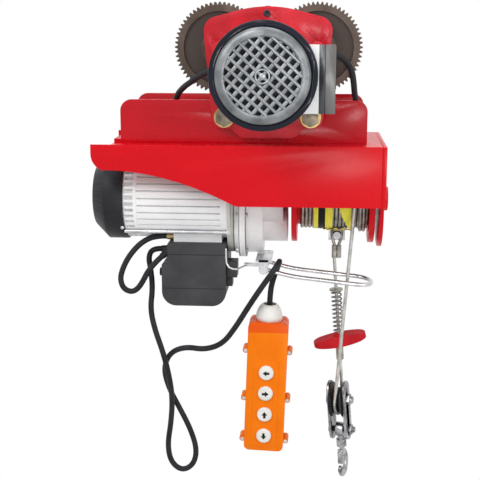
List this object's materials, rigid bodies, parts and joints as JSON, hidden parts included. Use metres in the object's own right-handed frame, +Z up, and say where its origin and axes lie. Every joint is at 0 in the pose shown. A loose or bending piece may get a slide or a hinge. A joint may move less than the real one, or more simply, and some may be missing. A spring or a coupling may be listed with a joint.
{
  "type": "electric hoist with beam trolley",
  "caption": "Small electric wire-rope hoist on a motor-driven beam trolley, with a finned motor, rope drum, pulley block and hook, upper limit arm and a hanging push-button control.",
  "frame": {"origin": "middle of the four wheels' track, on the beam flange surface that the treads roll on", "axes": "+X along the beam and the drum, +Y from the travel motor to the rear of the trolley, +Z up"},
  "size_m": [0.484, 0.35, 0.8034],
  "materials": {
    "red_paint": "glossy enamel over rough castings and sheet",
    "geared_steel": "dark oiled cast wheels",
    "machined_steel": "machined",
    "zinc_steel": "bright zinc plate",
    "cast_aluminium": "die cast, lightly blasted",
    "laminated_iron": "stacked sheet",
    "drum_steel": "turned steel",
    "wire_rope": "stranded galvanised wire",
    "black_plastic": "fine grain moulding",
    "gland_brass": "turned",
    "orange_plastic": "satin moulding",
    "white_plastic": "satin moulding",
    "cable_rubber": "smooth jacket"
  },
  "bodies": {
    "frame": {"hanger_bracket": "red_paint", "hoist_frame": "red_paint", "drum_end_plate": "red_paint", "trolley_front_plate": "red_paint", "trolley_rear_plate": "red_paint", "wheel_axles": "machined_steel", "wheel_bearings": "machined_steel", "shaft_bearings": "machined_steel", "cross_bolts": "zinc_steel", "cross_bolt_washers": "zinc_steel", "hoist_bolts": "zinc_steel", "motor_tie_rods": "zinc_steel", "rope_anchor": "zinc_steel", "limit_arm_bracket": "zinc_steel", "limit_spring": "zinc_steel", "small_screws": "zinc_steel", "trolley_motor_housing": "cast_aluminium", "hoist_motor_housing": "cast_aluminium", "hoist_motor_end_ring": "cast_aluminium", "gearbox_motor_side": "cast_aluminium", "gearbox_drum_side": "cast_aluminium", "trolley_fan_grille": "cast_aluminium", "stator_cores": "laminated_iron", "live_rope_fall": "wire_rope", "dead_rope_fall": "wire_rope", "rope_end": "wire_rope", "hoist_fan_cover": "black_plastic", "trolley_motor_ring": "black_plastic", "trolley_terminal_box": "black_plastic", "switch_box": "black_plastic", "switch_box_cover": "black_plastic", "cable_glands": "gland_brass", "pendant_front": "orange_plastic", "pendant_back": "orange_plastic", "pendant_gland": "white_plastic", "pendant_cable": "cable_rubber", "cable_runs": "cable_rubber"},
    "trolley_rotor": {"trolley_rotor": "machined_steel"},
    "trolley_layshaft": {"trolley_layshaft": "machined_steel"},
    "drive_shaft": {"drive_shaft": "machined_steel"},
    "hoist_rotor": {"hoist_rotor": "machined_steel"},
    "hoist_layshaft": {"hoist_layshaft": "machined_steel"},
    "drum": {"rope_drum": "red_paint", "drum_shaft": "machined_steel", "wound_rope": "wire_rope"},
    "hook_block": {"sheave_block": "zinc_steel"},
    "sheave": {"sheave": "drum_steel"},
    "swivel_eye": {"swivel_eye": "zinc_steel"},
    "hook": {"hook": "zinc_steel"},
    "hook_latch": {"hook_latch": "zinc_steel"},
    "limit_arm": {"limit_arm": "zinc_steel"},
    "limit_saddle": {"limit_saddle": "red_paint"},
    "geared_wheel_left": {"geared_wheel_left": "geared_steel"},
    "geared_wheel_right": {"geared_wheel_right": "geared_steel"},
    "plain_wheel_left": {"plain_wheel_left": "geared_steel"},
    "plain_wheel_right": {"plain_wheel_right": "geared_steel"},
    "button_left": {"button_left": "white_plastic"},
    "button_right": {"button_right": "white_plastic"},
    "button_up": {"button_up": "white_plastic"},
    "button_down": {"button_down": "white_plastic"}
  },
  "joints": [
    {"name": "trolley_motor_spin", "type": "hinge", "parent": "frame", "child": "trolley_rotor", "pos_m": [0, -0.16, 0.00835], "axis": [0, 1, 0], "continuous": true},
    {"name": "trolley_layshaft_spin", "type": "hinge", "parent": "frame", "child": "trolley_layshaft", "pos_m": [0, -0.1, -0.0179], "axis": [0, 1, 0], "continuous": true},
    {"name": "drive_shaft_spin", "type": "hinge", "parent": "frame", "child": "drive_shaft", "pos_m": [0, -0.09, 0.00835], "axis": [0, 1, 0], "continuous": true},
    {"name": "geared_wheel_left_spin", "type": "hinge", "parent": "frame", "child": "geared_wheel_left", "pos_m": [-0.076, -0.055, 0.045], "axis": [0, 1, 0], "continuous": true},
    {"name": "geared_wheel_right_spin", "type": "hinge", "parent": "frame", "child": "geared_wheel_right", "pos_m": [0.076, -0.055, 0.045], "axis": [0, 1, 0], "continuous": true},
    {"name": "plain_wheel_left_spin", "type": "hinge", "parent": "frame", "child": "plain_wheel_left", "pos_m": [-0.076, 0.055, 0.045], "axis": [0, 1, 0], "continuous": true},
    {"name": "plain_wheel_right_spin", "type": "hinge", "parent": "frame", "child": "plain_wheel_right", "pos_m": [0.076, 0.055, 0.045], "axis": [0, 1, 0], "continuous": true},
    {"name": "hoist_motor_spin", "type": "hinge", "parent": "frame", "child": "hoist_rotor", "pos_m": [-0.15, 0, -0.201], "axis": [1, 0, 0], "range_deg": [-2046.89, 163750.91]},
    {"name": "hoist_layshaft_spin", "type": "hinge", "parent": "frame", "child": "hoist_layshaft", "pos_m": [-0.04, 0, -0.246], "axis": [1, 0, 0], "range_deg": [-26412.01, 330.72]},
    {"name": "drum_spin", "type": "hinge", "parent": "frame", "child": "drum", "pos_m": [0.1, 0, -0.201], "axis": [1, 0, 0], "range_deg": [-53.82, 4260.48]},
    {"name": "hook_lift", "type": "slide", "parent": "frame", "child": "hook_block", "axis": [0, 0, 1], "range_m": [-2.001, 0.026], "deforming": ["live_rope_fall", "dead_rope_fall"]},
    {"name": "sheave_spin", "type": "hinge", "parent": "hook_block", "child": "sheave", "pos_m": [0.121, -0.0145, -0.549], "axis": [0.9527, -0.2924, 0.0833], "range_deg": [-60.26, 4775.22]},
    {"name": "eye_tilt", "type": "hinge", "parent": "hook_block", "child": "swivel_eye", "pos_m": [0.12571, -0.0145, -0.60279], "axis": [0.9527, -0.2924, 0.0833], "range_deg": [-30, 30]},
    {"name": "hook_swivel", "type": "hinge", "parent": "swivel_eye", "child": "hook", "pos_m": [0.12797, -0.0145, -0.6287], "axis": [-0.0872, 0, 0.9962], "continuous": true},
    {"name": "latch_hinge", "type": "hinge", "parent": "hook", "child": "hook_latch", "pos_m": [0.12593, -0.02445, -0.64022], "axis": [0.9527, -0.2924, 0.0833], "range_deg": [0, 40], "stiffness_Nm_per_rad": 0.01, "springref_deg": -22.92},
    {"name": "limit_arm_lift", "type": "hinge", "parent": "frame", "child": "limit_arm", "pos_m": [-0.006, -0.03, -0.31], "axis": [0, -1, 0], "range_deg": [0, 10]},
    {"name": "limit_saddle_slide", "type": "slide", "parent": "frame", "child": "limit_saddle", "axis": [-0.0758, 0.0104, 0.9971], "range_m": [0, 0.015], "stiffness_N_per_m": 400, "springref_m": -0.01, "deforming": ["limit_spring"]},
    {"name": "button_left_press", "type": "slide", "parent": "frame", "child": "button_left", "axis": [0, 1, 0], "range_m": [0, 0.004], "stiffness_N_per_m": 300, "springref_m": -0.002},
    {"name": "button_right_press", "type": "slide", "parent": "frame", "child": "button_right", "axis": [0, 1, 0], "range_m": [0, 0.004], "stiffness_N_per_m": 300, "springref_m": -0.002},
    {"name": "button_up_press", "type": "slide", "parent": "frame", "child": "button_up", "axis": [0, 1, 0], "range_m": [0, 0.004], "stiffness_N_per_m": 300, "springref_m": -0.002},
    {"name": "button_down_press", "type": "slide", "parent": "frame", "child": "button_down", "axis": [0, 1, 0], "range_m": [0, 0.004], "stiffness_N_per_m": 300, "springref_m": -0.002}
  ],
  "couplings": [
    {"joint": "trolley_layshaft_spin", "follows": "trolley_motor_spin", "ratio": -0.4},
    {"joint": "drive_shaft_spin", "follows": "trolley_motor_spin", "ratio": 0.16},
    {"joint": "geared_wheel_left_spin", "follows": "trolley_motor_spin", "ratio": -0.04},
    {"joint": "geared_wheel_right_spin", "follows": "trolley_motor_spin", "ratio": -0.04},
    {"joint": "hoist_layshaft_spin", "follows": "hoist_motor_spin", "ratio": -0.16129},
    {"joint": "drum_spin", "follows": "hoist_motor_spin", "ratio": 0.026015},
    {"joint": "hook_lift", "follows": "hoist_motor_spin", "m_per_rad": -0.00069979},
    {"joint": "sheave_spin", "follows": "hoist_motor_spin", "ratio": 0.029158}
  ]
}
